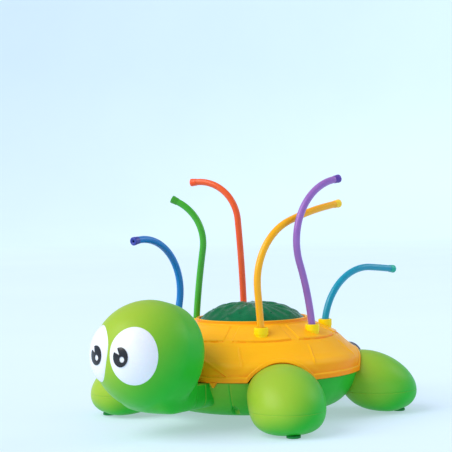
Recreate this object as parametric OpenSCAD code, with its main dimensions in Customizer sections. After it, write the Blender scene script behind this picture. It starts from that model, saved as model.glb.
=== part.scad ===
// Turtle-shaped garden water-toy sprinkler.
// The head points along -Y, the turtle's left side is +X, +Z is up.
// Origin: middle of the bounding box, on the ground.

/* [Body] */
// Radius of the shell's lower edge
shell_r = 98; // [96:0.5:100]
// Height of the shell's lower edge above the ground
skirt_z = 40; // [38:0.5:41]
// Height of the raised lip around the spinner
lip_z = 86.4; // [85.5:0.1:87]
// Wall thickness of the moulded casings
wall = 2.4; // [2:0.1:2.8]
// Height of the hull's flat bottom
belly_z = 7.5; // [7:0.5:9]

/* [Head] */
// Radius of the head
head_r = 44.7; // [44:0.1:46]
// Distance from the shell's axis forward to the middle of the head
head_reach = 136.65; // [134:0.05:138]
// Height of the middle of the head
head_z = 66.3; // [65:0.1:67]
// Half width of the oval ball that an eye is cut from
eye_w = 22.4; // [21:0.2:24]
// Half height of the same ball
eye_h = 24.6; // [23:0.2:26]
// Angle of each eye from straight ahead
eye_side = 26.8; // [24:0.2:28]
// Half width of a pupil
pupil_w = 6.7; // [5:0.1:7.5]
// Half height of a pupil
pupil_h = 7.8; // [6:0.1:8.5]

/* [Feet] */
// Half length of a foot, along its own slope
foot_l = 38.5; // [37:0.1:39]
// Half width of a foot
foot_w = 31.7; // [30:0.1:32]
// Half thickness of a foot, square to its slope
foot_h = 24.3; // [23:0.1:24.5]
// Slope of a foot, down toward its outer end
foot_slope = 24; // [20:1:25]
// Distance from the shell's axis to the middle of a foot
foot_reach = 110; // [109:0.1:111]
// Angle of the front feet from straight ahead, and of the rear feet from straight back
foot_angle = 52.5; // [51:0.5:54]
// Height of the mould seam around each foot
seam_z = 20; // [17:0.5:23]

/* [Tubes] */
// Outer diameter of a water tube
tube_d = 6.2; // [5.6:0.1:6.6]
// Inner diameter of a water tube
tube_bore_d = 3.6; // [3:0.1:4]
// Radius of the ring that the tubes stand on
ring_r = 66.4; // [64:0.1:68]
// Outer diameter of a collar
collar_d = 12.2; // [11.5:0.1:13]

/* [Spinner] */
// Radius of the spinner's dome
dome_r = 46.9; // [46:0.1:47.1]
// Height of the dome's top
dome_top_z = 100.8; // [99:0.1:102]
// Number of swirl ribs on the dome
rib_count = 8; // [6:1:10]

/* [Hose inlet] */
// Radius of the hose nut over its grip ribs
nut_r = 15.5; // [15:0.1:16.5]
// Thread bore radius of the hose nut, for a 3/4 inch garden hose
thread_r = 12.4; // [12.2:0.1:12.6]
// Length of the thread bore
thread_l = 14; // [12:0.5:15]
// Height of the inlet's axis above the ground
inlet_z = 33.6; // [32:0.1:35]
// Distance from the shell's axis back to the nut's open end
inlet_reach = 157; // [155:0.5:160]

/* [Hidden] */
$fn = 96;

// Front-to-back place of the shell's axis: it puts the whole length evenly about the origin.
eye_reach = 46.1;       // from the middle of the head forward to the front of the eyes
front_reach = head_reach + eye_reach;
axis_y = (front_reach - inlet_reach) / 2;

gap = 0.3;              // between parts that move against each other
seat = 0.05;            // between parts that are fixed together
screw_r = 1.4;          // shank of every screw
screw_hole_r = 1.5;
screw_head_r = 3;
screw_head_h = 2;
boss_r = 4.2;
post_reach = 50;        // from the shell's axis out to the posts that carry the chamber
shell_screw_reach = 80;
head_screw_x = 14;
head_screw_z = 27;
tail_hole_r = 15.7;     // opening in the shell's skirt around the tail

foot_z = 27.8;          // middle of a foot
foot_boss_z = 38;       // the foot's inner end, where its screw goes in
foot_inner = 0.93;      // size of a foot's hollow against its outside
pad_r = 5.8;
pad_h = 2;
pad_reach = 130;        // the pads sit toward the outer ends of the feet

pivot_z = 79.5;         // where a tube flexes, inside the collar's mouth
ball_r = 3.3;
collar_top_z = 82.5;
tube_r = tube_d / 2;
cap_r = 3.7;
cap_l = 6;

chamber_r = 72;         // water chamber under the shell
chamber_bottom_z = 52;
chamber_joint_z = 62;
chamber_top_z = 64.6;
spindle_r = 4.5;

// Every tube: name, colour, place on the ring, heading of its bend, lean at the root, and
// its stretches as [length, bend angle]. Angles are degrees; places and headings run from
// straight ahead (0) round by the turtle's left side (90).
TUBES = [
    ["yellow", "#F7B500", 45, 168, -5, [[35.5, 0], [73, 75], [55.5, 11.5]]],
    ["purple", "#9A6CB4", 90, 168, -6.5, [[57.5, -13.5], [34, 35.5], [61, 65]]],
    ["teal", "#0095B5", 135, 168, 7.5, [[83, 87], [25.5, 2]]],
    ["orange", "#F05A28", 225, 285, 1, [[94, 4], [62, 88]]],
    ["green", "#3AAE2E", 270, 300, -4, [[67, -4.5], [53.5, 71]]],
    ["blue", "#0080C8", 315, 0, 1, [[22, -14], [90, 111]]]
];
TIP_COLOURS = ["#FFD21A", "#5A3A9A", "#00A29A", "#FF5A1E", "#3F9E1E", "#3A3F9E"];

// Every foot: name and direction.
FEET = [
    ["front_left", foot_angle],
    ["rear_left", 180 - foot_angle],
    ["rear_right", 180 + foot_angle],
    ["front_right", -foot_angle]
];
SHELL_SCREW_ANGLES = [26, 154, 206, 334];
CHAMBER_SCREW_ANGLES = [for (i = [0 : 7]) 22.5 + 45 * i];
POST_ANGLES = [45, 135, 225, 315];

leaf_green = "#7CC22C";
deep_green = "#1E8E3A";
shell_orange = "#FFA510";
collar_yellow = "#F6DE10";
steel = "#B8BCC2";

// ---------- Helpers ----------

// Direction of an angle counted from straight ahead round by the turtle's left side.
function heading(a) = [sin(a), -cos(a), 0];

// Moves children to the shell's axis.
module at_axis() {
    translate([0, axis_y, 0]) children();
}

// Turns children so that their -Y side points in a direction counted from straight ahead.
module facing(a) {
    at_axis() rotate([0, 0, a]) children();
}

// Outline of a rectangle with round lower corners; its middle is x = 0, its lower edge y = 0.
function tub_outline(w, h, r) = concat(
    [for (i = [0 : 8]) [w / 2 - r + r * sin(i * 11.25), r - r * cos(i * 11.25)]],
    [[w / 2, h], [-w / 2, h]],
    [for (i = [8 : -1 : 0]) [-w / 2 + r - r * sin(i * 11.25), r - r * cos(i * 11.25)]]
);

// A screw standing on its head, shank up.
module screw(shank_l) {
    cylinder(r = screw_head_r, h = screw_head_h, $fn = 48);
    translate([0, 0, screw_head_h]) cylinder(r = screw_r, h = shank_l, $fn = 48);
}

// ---------- Shell ----------

shell_slope = [
    [50.3, 83.2], [76, 71.6], [79, 68.9], [83.4, 64], [88, 59.9],
    [92.8, 56.3], [95.2, 53.2], [96.3, 49.6], [96.6, 46]
];
shell_inner_slope = [
    [94.2, 46.2], [93.9, 50], [92.9, 52.4], [91, 54.6],
    [86.3, 58.1], [81.7, 62.2], [77.3, 67], [74.8, 69.3], [51, 80.2]
];

module shell_outside() {
    rotate_extrude() polygon(concat(
        [[0, skirt_z], [0, lip_z], [49.4, lip_z], [50.1, lip_z - 0.7]],
        shell_slope,
        [[shell_r - 0.4, 45.2], [shell_r, 44.4], [shell_r, skirt_z]]
    ));
}

module shell_inside() {
    rotate_extrude() polygon(concat(
        [[0, skirt_z - 1], [94.2, skirt_z - 1]],
        shell_inner_slope,
        [[47.6, 80.6], [47.6, lip_z + 1], [0, lip_z + 1]]
    ));
}

arch_r = 34.7;
arch_z = 21.5;
arch_lip = 3;

// The half-round opening over a foot.
module arch(r) {
    translate([0, -60, arch_z]) rotate([90, 0, 0]) cylinder(r = r, h = 60);
}

module shell() {
    color(shell_orange) difference() {
        union() {
            difference() {
                at_axis() shell_outside();
                at_axis() shell_inside();
            }
            for (foot = FEET) facing(foot[1]) arch_band();
            for (a = SHELL_SCREW_ANGLES) facing(a) intersection() {
                translate([0, -shell_screw_reach, skirt_z + seat]) cylinder(r = boss_r, h = 30);
                translate([0, 0, -wall / 2]) shell_outside();
            }
        }
        for (foot = FEET) facing(foot[1]) arch(arch_r);
        for (t = TUBES) facing(t[2]) translate([0, -ring_r, 60]) cylinder(r = 4.3, h = 30);
        for (i = [0 : 7]) facing(22.5 + 45 * i) plate_groove();
        for (a = SHELL_SCREW_ANGLES) facing(a) translate([0, -shell_screw_reach, skirt_z - 1])
            cylinder(r = screw_hole_r, h = 17);
        at_axis() translate([0, 80, inlet_z]) rotate([-90, 0, 0]) cylinder(r = tail_hole_r, h = 40);
    }
}

// Raised band that runs over the arch and stands proud of the shell's side.
module arch_band() {
    intersection() {
        difference() {
            arch(arch_r + arch_lip);
            arch(arch_r - 1);
        }
        difference() {
            rotate_extrude() polygon([
                [94.1, skirt_z + 0.1], [shell_r - 0.1, skirt_z + 0.1], [shell_r - 0.1, 50], [96.4, 54],
                [93.6, 57.4], [90, 60.5], [88, 58], [94.1, 50]
            ]);
            translate([-60, 0, 0]) cube([120, 120, 100]);
        }
    }
}

// Straight groove between two plates of the shell's top.
module plate_groove() {
    translate([0, -51, 82.9]) rotate([24.3, 0, 0]) translate([-0.5, -26.5, -0.7]) cube([1, 26.5, 3]);
}

// ---------- Hull ----------

hull_profile = [
    [60, belly_z], [70, 8.8], [78, 12.4], [84.5, 18.4], [90, 26], [94, 34], [95.6, skirt_z - seat]
];

module hull_outside() {
    rotate_extrude() polygon(concat([[0, belly_z]], hull_profile, [[0, skirt_z - seat]]));
}

module hull_inside() {
    rotate_extrude() polygon([
        [0, belly_z + wall], [59.5, belly_z + wall], [69, 11.3], [76.4, 14.6],
        [82.5, 20.2], [87.7, 27.3], [91.6, 35], [93.2, skirt_z + 1], [0, skirt_z + 1]
    ]);
}

// The space a foot takes, grown by g.
module foot_form(g) {
    translate([0, -foot_reach, foot_z]) rotate([foot_slope, 0, 0])
        scale([foot_w + g, foot_l + g, foot_h + g]) sphere(r = 1);
}

// The room under the shell that the foot pockets may fill.
module pocket_room() {
    rotate_extrude() polygon([
        [60, 36], [93.2, 36], [93.5, 49.6], [90.6, 54.2], [86, 57.6], [81.4, 61.6], [60, 61.6]
    ]);
}

// The rim that stands up inside the shell's skirt.
module hull_rim() {
    rotate_extrude() polygon([
        [90.6, skirt_z - 5], [93.9, skirt_z - 5], [93.9, skirt_z + 4], [91.6, skirt_z + 4]
    ]);
}

module base_hull() {
    color(leaf_green) difference() {
        union() {
            difference() {
                union() {
                    at_axis() hull_outside();
                    at_axis() hull_rim();
                    tail_sleeve();
                }
                difference() {
                    at_axis() hull_inside();
                    for (foot = FEET) facing(foot[1]) foot_form(gap + 2);
                    at_axis() neck_form(2.2);
                    for (a = POST_ANGLES) facing(a) translate([0, -post_reach, 0])
                        cylinder(r = boss_r, h = 60);
                    for (a = SHELL_SCREW_ANGLES) facing(a) translate([0, -shell_screw_reach, 0])
                        cylinder(r = boss_r + 0.6, h = 60);
                }
            }
            for (a = POST_ANGLES) facing(a) translate([0, -post_reach, belly_z + 1])
                cylinder(r = boss_r, h = chamber_bottom_z - belly_z - 1 - seat);
            for (foot = FEET) facing(foot[1]) intersection() {
                foot_form(gap + 2);
                pocket_room();
            }
        }
        for (foot = FEET) facing(foot[1]) foot_form(gap);
        at_axis() neck_form(seat);
        for (a = POST_ANGLES) facing(a) translate([0, -post_reach, chamber_bottom_z - 14])
            cylinder(r = screw_hole_r, h = 15);
        for (a = SHELL_SCREW_ANGLES) facing(a) translate([0, -shell_screw_reach, 0]) {
            cylinder(r = screw_hole_r, h = 60);
            cylinder(r = screw_head_r + 0.3, h = 26);
        }
        for (foot = FEET) facing(foot[1]) translate([0, -62, foot_boss_z]) rotate([90, 0, 0])
            cylinder(r = screw_hole_r, h = 20);
        at_axis() translate([0, 40, inlet_z]) rotate([-90, 0, 0]) cylinder(r = pipe_r + seat, h = 100);
        head_screw_places() translate([0, 8, 0]) rotate([90, 0, 0]) cylinder(r = screw_hole_r, h = 20);
    }
}

// Tapered sleeve around the inlet pipe, shaped as a short tail.
module tail_sleeve() {
    at_axis() translate([0, 84, inlet_z]) rotate([-90, 0, 0]) difference() {
        cylinder(r1 = 16, r2 = 12.4, h = 40);
        translate([0, 0, -1]) cylinder(r = pipe_r + seat, h = 50);
    }
}

// ---------- Neck and head ----------

neck_w = 52;
neck_z = 18;
neck_h = skirt_z - 0.4 - neck_z;
neck_back = 78;
neck_front = 118;

throat_w = 57;          // the taller part of the neck that fills the head's lower back
throat_h = 42;
throat_back = 103;

module neck_form(g) {
    translate([0, -neck_back + g, neck_z - g]) rotate([90, 0, 0])
        linear_extrude(neck_front - neck_back + 2 * g)
        polygon(tub_outline(neck_w + 2 * g, neck_h + g, 9 + g));
    throat_form(g);
}

module throat_form(g) {
    intersection() {
        translate([0, -throat_back + g, neck_z - g]) rotate([90, 0, 0])
            linear_extrude(60) polygon(tub_outline(throat_w + 2 * g, throat_h + g, 12 + g));
        translate([0, -neck_front - 6 - g, 0]) linear_extrude(100)
            polygon(tub_outline(throat_w + 2 * g, 60, 18 + g));
    }
}

// Moves children to the two screws that hold the head, at the back of the neck.
module head_screw_places() {
    for (x = [-head_screw_x, head_screw_x]) at_axis() translate([x, -neck_back, head_screw_z]) children();
}

module neck() {
    color(leaf_green) difference() {
        at_axis() neck_form(0);
        at_axis() translate([0, -neck_back - 3, neck_z + 3]) rotate([90, 0, 0])
            linear_extrude(neck_front - neck_back)
            polygon(tub_outline(neck_w - 6, neck_h - 6, 6.5));
        at_axis() throat_form(-3);
        head_screw_places() translate([0, 8, 0]) rotate([90, 0, 0]) cylinder(r = screw_hole_r, h = 20);
    }
}

// Outline of the head in length and radius: a round front and a fuller back.
head_back = 32.1;
head_tilt = 14;
function head_outline(g) = concat(
    [for (i = [0 : 14]) let (t = 90 * i / 14)
        [(head_r + g) * pow(sin(t), 0.87), (head_r + g) * pow(cos(t), 1.2)]],
    [for (i = [1 : 14]) let (t = 90 * i / 14)
        [(head_r + g) * pow(cos(t), 1.2), -(head_back + g) * pow(sin(t), 0.35)]]
);

module head_form(g) {
    translate([0, -head_reach, head_z]) rotate([90 - head_tilt, 0, 0])
        rotate_extrude() polygon(concat([[0, 0]], head_outline(g)));
}

module head_shell() {
    color(leaf_green) difference() {
        at_axis() head_form(0);
        at_axis() head_form(-wall);
        at_axis() neck_form(seat);
        for (side = [-1, 1]) at_axis() eye_peg(side, 3.1);
    }
}

eye_out = 32.6;           // from the middle of the head to the middle of the eye's ball
eye_depth = 15.2;
eye_up = 5.4;
pupil_side = 16.5;
pupil_up = 3.9;

// Moves children out from the middle of the head, with -Y pointing away from it.
module out_of_head(side_angle, up_angle, out) {
    translate([0, -head_reach, head_z]) rotate([0, 0, side_angle]) rotate([-up_angle, 0, 0])
        translate([0, -out, 0]) children();
}

module eye_ball(side, g) {
    out_of_head(side * eye_side, eye_up, eye_out)
        scale([eye_w + g, eye_depth + g, eye_h + g]) sphere(r = 1);
}

module eye_peg(side, r) {
    out_of_head(side * eye_side, eye_up, eye_out) rotate([90, 0, 0])
        translate([0, 0, -4]) cylinder(r = r, h = 17);
}

module eye(side) {
    color("white") at_axis() difference() {
        union() {
            difference() {
                eye_ball(side, 0);
                head_form(seat);
            }
            eye_peg(side, 3);
        }
        translate([-side * 49.9, -head_reach, head_z]) cube([100, 200, 100], center = true);
    }
}

module pupil(side) {
    color("#26262C") at_axis() intersection() {
        difference() {
            eye_ball(side, 0.6);
            eye_ball(side, seat);
        }
        out_of_head(side * pupil_side, pupil_up, 30) rotate([90, 0, 0]) linear_extrude(40) difference() {
            polygon([for (i = [0 : 47]) [pupil_w * cos(i * 7.5), pupil_h * sin(i * 7.5)]]);
            translate([1.6, -1.8]) circle(r = 2.3);
            polygon([[-0.4, 1.6], [-9, 5.2], [-4.4, 10]]);
        }
    }
}

module eye_left() { eye(1); }
module eye_right() { eye(-1); }
module pupil_left() { pupil(1); }
module pupil_right() { pupil(-1); }

// ---------- Feet ----------

// The part of a hollow ball of radius 1 above height c, as a mesh of flat faces.
module half_ball(c, inner) {
    rings = 6;
    sides = 24;
    function ring(r, k) = let (low = asin(c / r), t = low + (90 - low) * k / rings)
        [for (j = [0 : sides - 1]) let (a = 360 * j / sides) r * [cos(t) * cos(a), cos(t) * sin(a), sin(t)]];
    n = rings * sides;
    polyhedron(
        points = concat(
            [for (r = [1, inner], k = [0 : rings - 1]) each ring(r, k)],
            [[0, 0, 1], [0, 0, inner]]
        ),
        faces = [for (j = [0 : sides - 1]) let (m = (j + 1) % sides) each concat(
            [for (k = [0 : rings - 2]) let (o = k * sides) [o + j, o + sides + j, o + sides + m, o + m]],
            [for (k = [0 : rings - 2]) let (o = n + k * sides)
                [o + j, o + m, o + sides + m, o + sides + j]],
            [[n - sides + j, 2 * n, n - sides + m], [2 * n - sides + j, 2 * n - sides + m, 2 * n + 1]],
            [[j, m, n + m, n + j]]
        )]
    );
}

// Hollow half of a foot, above (side 1) or below (side -1) the mould seam: a ball cut by
// the seam's plane and stretched into the foot's form.
module foot_half(side) {
    rise = foot_l * sin(foot_slope);
    drop = foot_h * cos(foot_slope);
    cut = (seam_z - foot_z + max(side, 0) * seat) / norm([rise, drop]);
    translate([0, -foot_reach, foot_z]) rotate([foot_slope, 0, 0]) scale([foot_w, foot_l, foot_h])
        rotate([-atan2(rise, drop), 0, 0]) mirror([0, 0, side > 0 ? 0 : 1])
        half_ball(side * cut, foot_inner);
}

module foot_upper(a) {
    color(leaf_green) facing(a) difference() {
        foot_half(1);
        translate([0, -70, foot_boss_z]) rotate([90, 0, 0]) cylinder(r = screw_hole_r, h = 16);
    }
}

module foot_lower(a) {
    color(leaf_green) facing(a) difference() {
        foot_half(-1);
        translate([0, -pad_reach, -1]) cylinder(r = 2.1, h = 10);
        translate([0, -pad_reach, -1]) cylinder(r = pad_r + seat, h = pad_h + 1 + seat);
    }
}

// A round rubber pad with a stem that is pushed into the foot.
module foot_pad(a) {
    color(deep_green) facing(a) translate([0, -pad_reach, 0]) {
        cylinder(r = pad_r, h = pad_h);
        cylinder(r = 2, h = 8.5);
    }
}

module foot_upper_front_left() { foot_upper(FEET[0][1]); }
module foot_upper_rear_left() { foot_upper(FEET[1][1]); }
module foot_upper_rear_right() { foot_upper(FEET[2][1]); }
module foot_upper_front_right() { foot_upper(FEET[3][1]); }
module foot_lower_front_left() { foot_lower(FEET[0][1]); }
module foot_lower_rear_left() { foot_lower(FEET[1][1]); }
module foot_lower_rear_right() { foot_lower(FEET[2][1]); }
module foot_lower_front_right() { foot_lower(FEET[3][1]); }
module foot_pad_front_left() { foot_pad(FEET[0][1]); }
module foot_pad_rear_left() { foot_pad(FEET[1][1]); }
module foot_pad_rear_right() { foot_pad(FEET[2][1]); }
module foot_pad_front_right() { foot_pad(FEET[3][1]); }

// ---------- Collars, tubes and tips ----------

module collar(i) {
    color(collar_yellow) facing(TUBES[i][2]) difference() {
        union() {
            difference() {
                translate([0, -ring_r, 70]) cylinder(r = collar_d / 2, h = collar_top_z - 70);
                shell_outside();
            }
            translate([0, -ring_r, 67]) cylinder(r = 4.25, h = 9);
        }
        translate([0, -ring_r, 60]) cylinder(r = 2.4, h = 20);
        translate([0, -ring_r, pivot_z]) sphere(r = ball_r + gap);
        translate([0, -ring_r, pivot_z])
            cylinder(r1 = 3.55, r2 = 5, h = collar_top_z - pivot_z + seat);
    }
}

// Moves children to the root of a tube, leaning, with +X as the way it bends.
module tube_root(i) {
    at_axis() translate(ring_r * heading(TUBES[i][2]) + [0, 0, pivot_z])
        rotate([0, 0, TUBES[i][3] - 90]) rotate([0, TUBES[i][4], 0]) children();
}

// Place and lean, [x, z, lean], after a length s of a stretch that starts at p.
function along(p, stretch, s) =
    let (turn = stretch[1] * s / stretch[0], chord = turn == 0 ? 1 : sin(turn / 2) / (turn / 2 * PI / 180))
    [p[0] + s * chord * sin(p[2] + turn / 2), p[1] + s * chord * cos(p[2] + turn / 2), p[2] + turn];

// Centre line of the stretches from the k-th on, a point about every ring_step.
ring_step = 7;
function route(p, stretches, k = 0) = k == len(stretches) ? [] :
    let (n = ceil(stretches[k][0] / ring_step), l = stretches[k][0]) concat(
        [for (i = [1 : n]) along(p, stretches[k], l * i / n)],
        route(along(p, stretches[k], l), stretches, k + 1)
    );

// A hollow sweep along stations of [x, z, lean, outer radius, inner radius].
SIDES = 12;
module hollow_sweep(stations) {
    n = len(stations);
    function ring(p, r) = [for (j = [0 : SIDES - 1]) let (t = 360 * j / SIDES)
        [p[0] + r * cos(t) * cos(p[2]), r * sin(t), p[1] - r * cos(t) * sin(p[2])]];
    polyhedron(
        points = concat(
            [for (p = stations) each ring(p, p[3])],
            [for (p = stations) each ring(p, p[4])]
        ),
        faces = concat(
            [for (k = [0 : n - 2], j = [0 : SIDES - 1]) let (m = (j + 1) % SIDES, o = k * SIDES)
                [o + j, o + SIDES + j, o + SIDES + m, o + m]],
            [for (k = [0 : n - 2], j = [0 : SIDES - 1]) let (m = (j + 1) % SIDES, o = (n + k) * SIDES)
                [o + j, o + m, o + SIDES + m, o + SIDES + j]],
            [for (j = [0 : SIDES - 1]) let (m = (j + 1) % SIDES) [j, m, n * SIDES + m, n * SIDES + j]],
            [for (j = [0 : SIDES - 1]) let (m = (j + 1) % SIDES, o = (n - 1) * SIDES)
                [o + m, o + j, n * SIDES + o + j, n * SIDES + o + m]]
        ),
        convexity = 6
    );
}

// A tube and the round bead at its root, which flexes in the collar.
module tube(i) {
    bore = tube_bore_d / 2;
    bead = [for (t = [-50, -30, -10, 10]) [0, ball_r * sin(t), 0, ball_r * cos(t), bore]];
    color(TUBES[i][1]) tube_root(i) hollow_sweep(concat(
        bead,
        [[0, throat, 0, tube_r, bore]],
        [for (p = route([0, throat, 0], stretches(i))) [p[0], p[1], p[2], tube_r, bore]]
    ));
}

// The stretches of a tube past its bead, and the straight end that its cap grips.
throat = ball_r * sin(20);
cap_grip = 5;
function stretches(i) = concat(
    [for (k = [0 : len(TUBES[i][5]) - 1]) let (part = TUBES[i][5][k])
        k == 0 ? [part[0] - throat, part[1]] : part],
    [[cap_grip, 0]]
);

// Moves children to the far end of a tube, with +Z as the way the water leaves.
module at_tip(i) {
    stations = route([0, throat, 0], stretches(i));
    end = stations[len(stations) - 1];
    tube_root(i) translate([end[0], 0, end[1]]) rotate([0, end[2], 0]) children();
}

// Nozzle cap pushed over the end of a tube.
module tip(i) {
    color(TIP_COLOURS[i]) at_tip(i) translate([0, 0, -cap_l + 1.6]) difference() {
        union() {
            cylinder(r = cap_r - 0.25, h = cap_l, $fn = 48);
            translate([0, 0, cap_l - 2.4]) cylinder(r = cap_r, h = 2.4, $fn = 48);
        }
        translate([0, 0, -1]) cylinder(r = tube_r + seat, h = cap_l - 1.6 + 1 + seat, $fn = 48);
        cylinder(r = 1.1, h = cap_l + 1, $fn = 48);
    }
}

module collar_yellow() { collar(0); }
module collar_purple() { collar(1); }
module collar_teal() { collar(2); }
module collar_orange() { collar(3); }
module collar_green() { collar(4); }
module collar_blue() { collar(5); }
module tube_yellow() { tube(0); }
module tube_purple() { tube(1); }
module tube_teal() { tube(2); }
module tube_orange() { tube(3); }
module tube_green() { tube(4); }
module tube_blue() { tube(5); }
module tip_yellow() { tip(0); }
module tip_purple() { tip(1); }
module tip_teal() { tip(2); }
module tip_orange() { tip(3); }
module tip_green() { tip(4); }
module tip_blue() { tip(5); }

// ---------- Water chamber ----------

elbow_y = 30;           // where the inlet pipe turns up, behind the shell's axis

// Moves children to every screw around the chamber's rim.
module chamber_screw_places() {
    for (a = CHAMBER_SCREW_ANGLES) rotate([0, 0, a]) translate([0, -chamber_r + 1, 0]) children();
}

module chamber_lower() {
    color("#E8E8E4") at_axis() difference() {
        union() {
            translate([0, 0, chamber_bottom_z]) cylinder(r = chamber_r, h = 10);
            chamber_screw_places() translate([0, 0, chamber_bottom_z]) cylinder(r = boss_r, h = 10);
        }
        difference() {
            translate([0, 0, chamber_bottom_z + 2]) cylinder(r = chamber_r - 2, h = 10);
            chamber_screw_places() translate([0, 0, chamber_bottom_z]) cylinder(r = boss_r, h = 20);
        }
        chamber_screw_places() translate([0, 0, chamber_bottom_z + 1.3]) cylinder(r = screw_hole_r, h = 12);
        translate([0, elbow_y, chamber_bottom_z - 1]) cylinder(r = 7, h = 4);
        for (a = POST_ANGLES) rotate([0, 0, a]) translate([0, -post_reach, chamber_bottom_z - 1])
            cylinder(r = screw_hole_r, h = 4);
    }
}

module chamber_gasket() {
    color("#303236") at_axis() translate([0, 0, chamber_joint_z + seat]) difference() {
        union() {
            difference() {
                cylinder(r = chamber_r, h = 0.9);
                translate([0, 0, -1]) cylinder(r = chamber_r - 2, h = 3);
            }
            chamber_screw_places() cylinder(r = boss_r, h = 0.9);
        }
        chamber_screw_places() translate([0, 0, -1]) cylinder(r = screw_hole_r, h = 3);
    }
}

chamber_lid_h = chamber_top_z - chamber_joint_z - 1;
barb_h = 12.2;          // of the spigots that feed the tubes

module chamber_upper() {
    color("#E8E8E4") at_axis() difference() {
        translate([0, 0, chamber_joint_z + 1]) {
            cylinder(r = chamber_r, h = chamber_lid_h);
            chamber_screw_places() cylinder(r = boss_r, h = chamber_lid_h);
            for (t = TUBES) rotate([0, 0, t[2]]) translate([0, -ring_r, 0]) cylinder(r = 2.3, h = barb_h);
        }
        translate([0, 0, chamber_joint_z]) {
            for (t = TUBES) rotate([0, 0, t[2]]) translate([0, -ring_r, 0]) cylinder(r = 1.3, h = 20);
            chamber_screw_places() cylinder(r = screw_hole_r, h = 6);
            cylinder(r = spindle_r + seat, h = 6);
        }
    }
}

// ---------- Spinner ----------

rotor_floor_z = 80.6;
rotor_joint_z = 83;

module spindle() {
    color(steel) at_axis() difference() {
        union() {
            translate([0, 0, chamber_joint_z + 1]) cylinder(r = spindle_r, h = 25);
            translate([0, 0, chamber_top_z + seat]) cylinder(r = 9, h = 2.4);
        }
        translate([0, 0, chamber_joint_z]) cylinder(r = 2.8, h = 23);
        translate([0, 0, 84]) cylinder(r = screw_hole_r, h = 6);
        for (a = [0, 90]) translate([0, 0, 83]) rotate([90, 0, a])
            cylinder(r = 1.2, h = 20, center = true);
    }
}

module rotor_bush() {
    color("#F2F0E6") at_axis() translate([0, 0, 70]) difference() {
        cylinder(r = 6.5, h = 11);
        translate([0, 0, -1]) cylinder(r = spindle_r + 0.08, h = 20);
    }
}

module rotor_base() {
    color("#0E8A4C") at_axis() difference() {
        union() {
            translate([0, 0, rotor_floor_z]) cylinder(r = dome_r - 0.7, h = rotor_joint_z - rotor_floor_z);
            translate([0, 0, 70]) cylinder(r = 9, h = 12);
        }
        translate([0, 0, 60]) cylinder(r = 6.55, h = 21.02);
        translate([0, 0, 60]) cylinder(r = spindle_r + gap, h = 40);
    }
}

dome_profile = [
    [dome_r, 86], [45.6, 87.6], [43, 90], [39, 92.6], [33, 95.6],
    [27, 97.7], [18, 99.5], [8, dome_top_z - 0.3], [0, dome_top_z]
];

module dome_outside(g) {
    rotate_extrude() polygon(concat(
        [[0, rotor_joint_z + seat], [dome_r, rotor_joint_z + seat]],
        [for (p = dome_profile) [p[0], p[1] + g]]
    ));
}

// Curved rib from the middle of the dome to its edge.
module swirl_rib() {
    swirl_r = 25;
    intersection() {
        translate([swirl_r, 0, 84]) difference() {
            cylinder(r = swirl_r + 0.8, h = 30);
            translate([0, 0, -1]) cylinder(r = swirl_r - 0.8, h = 32);
        }
        translate([0, -60, 80]) cube([60, 54, 40]);
    }
}

module rotor_dome() {
    color("#0A7A46") at_axis() difference() {
        union() {
            dome_outside(0);
            intersection() {
                dome_outside(0.9);
                cylinder(r = dome_r - 0.6, h = 120);
                for (i = [0 : rib_count - 1]) rotate([0, 0, i * 360 / rib_count]) swirl_rib();
            }
        }
        rotate_extrude() polygon([
            [0, 80], [44.4, 80], [44.4, 86], [41.5, 88.8], [37.8, 91],
            [32, 93.8], [26, 95.8], [17, 97.6], [0, 98.8]
        ]);
        for (i = [0 : rib_count - 1], r = [14, 26, 36]) rotate([0, 0, (i + 0.45) * 360 / rib_count])
            translate([r, 0, 84]) cylinder(r = 0.8, h = 30, $fn = 24);
    }
}

module rotor_seal() {
    color("#303236") at_axis() translate([0, 0, 67.6]) difference() {
        cylinder(r = 8, h = 2);
        translate([0, 0, -1]) cylinder(r = spindle_r + 0.08, h = 4);
    }
}

module rotor_screw() {
    color(steel) at_axis() translate([0, 0, 91.2]) mirror([0, 0, 1]) {
        cylinder(r = 6, h = 2.4, $fn = 48);
        cylinder(r = screw_r, h = 9, $fn = 48);
    }
}

// ---------- Hose inlet ----------

pipe_r = 9.4;
pipe_bore_r = 6.4;
flange_back = 18;       // from the nut's open end in to the pipe's flange
elbow_r = 12;

module inlet_pipe() {
    color("#4A4E55") at_axis() difference() {
        union() {
            translate([0, elbow_y + elbow_r, inlet_z]) rotate([-90, 0, 0])
                cylinder(r = pipe_r, h = inlet_reach - flange_back - elbow_y - elbow_r);
            translate([0, inlet_reach - flange_back - 3, inlet_z]) rotate([-90, 0, 0])
                cylinder(r = 11.8, h = 3);
            translate([0, elbow_y, inlet_z + elbow_r])
                cylinder(r = pipe_r, h = chamber_bottom_z - inlet_z - elbow_r - seat);
            elbow(pipe_r);
        }
        translate([0, elbow_y + elbow_r, inlet_z]) rotate([-90, 0, 0]) cylinder(r = pipe_bore_r, h = 200);
        translate([0, elbow_y, inlet_z + elbow_r]) cylinder(r = pipe_bore_r, h = 60);
        elbow(pipe_bore_r);
    }
}

// Quarter bend from the horizontal pipe up to the chamber.
module elbow(r) {
    translate([0, elbow_y + elbow_r, inlet_z + elbow_r]) rotate([90, 0, -90])
        rotate_extrude(start = -90, angle = 90) translate([elbow_r, 0]) circle(r = r);
}

module inlet_o_ring() {
    color("#303236") at_axis() translate([0, 126.2, inlet_z]) rotate([-90, 0, 0])
        rotate_extrude() translate([10.9, 0]) circle(r = 1.4, $fn = 24);
}

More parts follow.
